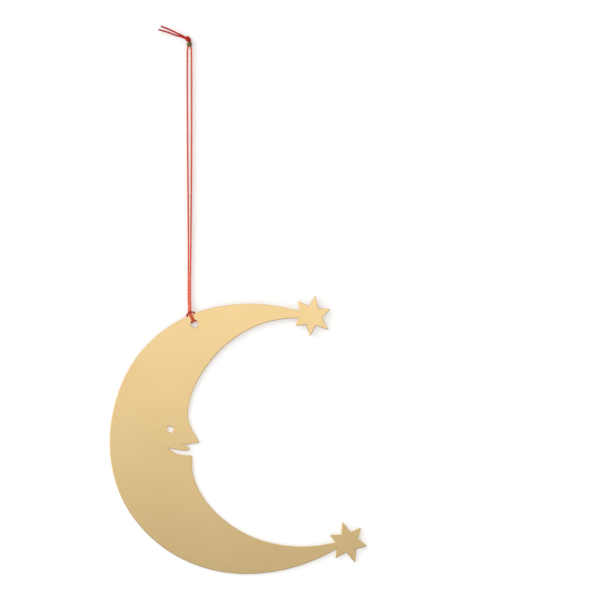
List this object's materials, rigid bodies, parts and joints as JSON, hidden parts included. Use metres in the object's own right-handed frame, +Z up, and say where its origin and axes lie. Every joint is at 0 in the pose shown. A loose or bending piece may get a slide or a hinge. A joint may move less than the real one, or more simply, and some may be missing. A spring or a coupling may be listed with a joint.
{
  "type": "hanging moon ornament",
  "caption": "Flat gilded crescent moon with a smiling profile and a star at each horn, hung on a doubled red cord with a small bead and a knot.",
  "frame": {"origin": "crotch of the cord's hanging loop, just under the bead, where a hook or twig holds the ornament up", "axes": "+Z up along the cord, -Y out of the sheet's front face, +X towards the crescent's open side"},
  "size_m": [0.1607, 0.0052, 0.3428],
  "materials": {
    "gilded_sheet": "satin gilt, tumbled edges",
    "bead_brass": "aged, half gloss",
    "red_cord": "twisted cord, matte"
  },
  "bodies": {
    "top_knot": {"cord_knot": "red_cord", "cord_tail_upper": "red_cord", "cord_tail_lower": "red_cord"},
    "bead": {"bead": "bead_brass"},
    "hanging_cord": {"cord_strand_left": "red_cord", "cord_strand_right": "red_cord"},
    "moon": {"moon_plate": "gilded_sheet", "cord_hitch": "red_cord"}
  },
  "joints": [
    {"name": "bead_slide", "type": "slide", "parent": "top_knot", "child": "bead", "axis": [0, 0, -1], "range_m": [0, 0.155], "deforming": ["cord_strand_left", "cord_strand_right"]},
    {"name": "moon_turn", "type": "hinge", "parent": "top_knot", "child": "hanging_cord", "pos_m": [0, 0, 0], "axis": [0, 0, 1], "range_deg": [-180, 180], "deforming": ["cord_strand_left", "cord_strand_right"]},
    {"name": "moon_swing", "type": "hinge", "parent": "hanging_cord", "child": "moon", "pos_m": [0, 0, -0.15775], "axis": [0, 1, 0], "range_deg": [-45, 45], "deforming": ["cord_strand_left", "cord_strand_right"]}
  ]
}
